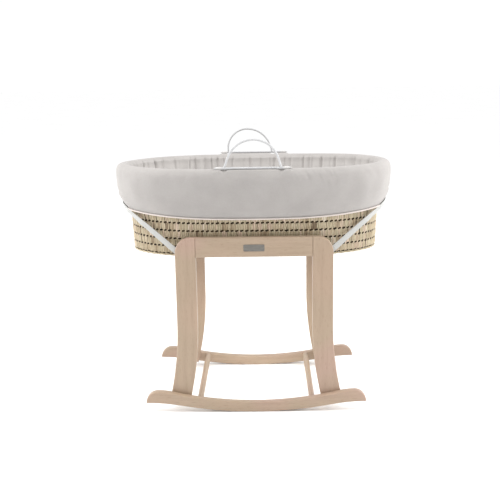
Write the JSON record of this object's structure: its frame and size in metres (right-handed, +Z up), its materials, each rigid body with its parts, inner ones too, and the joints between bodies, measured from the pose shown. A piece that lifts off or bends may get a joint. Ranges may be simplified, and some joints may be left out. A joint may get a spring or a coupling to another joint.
{
  "type": "moses basket",
  "caption": "Oval woven palm moses basket with padded cloth liner, mattress and loop handles, carried between two bent wooden frames on rockers.",
  "frame": {"origin": "on the floor, midway between the lowest lines of the two rockers, under the middle of the basket", "axes": "+X along the basket's length, +Y across it from the front frame to the rear frame, +Z up"},
  "size_m": [0.84, 0.46, 0.8183],
  "materials": {
    "beech": "satin",
    "steel": "satin",
    "plate_metal": "satin",
    "webbing": "woven",
    "palm_weave": "woven",
    "liner_cloth": "matt",
    "piping": "matt",
    "foam": "matt",
    "cover_cloth": "matt",
    "handle_cord": "matt"
  },
  "bodies": {
    "stand": {"front_rocker": "beech", "rear_rocker": "beech", "front_right_leg": "beech", "front_left_leg": "beech", "rear_right_leg": "beech", "rear_left_leg": "beech", "front_top_rail": "beech", "rear_top_rail": "beech", "lower_rod_left": "beech", "lower_rod_right": "beech", "rail_dowels": "beech", "leg_bolts": "steel", "insert_nuts": "steel", "blank_plate": "plate_metal", "plate_pins": "plate_metal", "left_end_strap": "webbing", "right_end_strap": "webbing", "strap_screws": "steel", "strap_washers": "steel", "left_sling": "webbing", "right_sling": "webbing", "sling_screws": "steel"},
    "basket": {"basket_base": "palm_weave", "basket_wall": "palm_weave", "basket_rim": "palm_weave", "liner_skirt": "liner_cloth", "liner_lining": "liner_cloth", "hem_piping": "piping", "front_handle_loops": "handle_cord", "rear_handle_loops": "handle_cord"},
    "mattress": {"mattress_core": "foam", "mattress_cover": "cover_cloth"},
    "front_carry_handle": {"front_handle": "handle_cord"},
    "rear_carry_handle": {"rear_handle": "handle_cord"}
  },
  "joints": [
    {"name": "basket_lift", "type": "slide", "parent": "stand", "child": "basket", "axis": [0, 0, 1], "range_m": [0, 0.3]},
    {"name": "mattress_lift", "type": "slide", "parent": "basket", "child": "mattress", "axis": [0, 0, 1], "range_m": [0, 0.28]},
    {"name": "front_handle_turn", "type": "hinge", "parent": "basket", "child": "front_carry_handle", "pos_m": [0, -0.216, 0.735], "axis": [1, 0, 0], "range_deg": [-70, 115]},
    {"name": "rear_handle_turn", "type": "hinge", "parent": "basket", "child": "rear_carry_handle", "pos_m": [0, 0.216, 0.735], "axis": [-1, 0, 0], "range_deg": [-70, 115]}
  ]
}
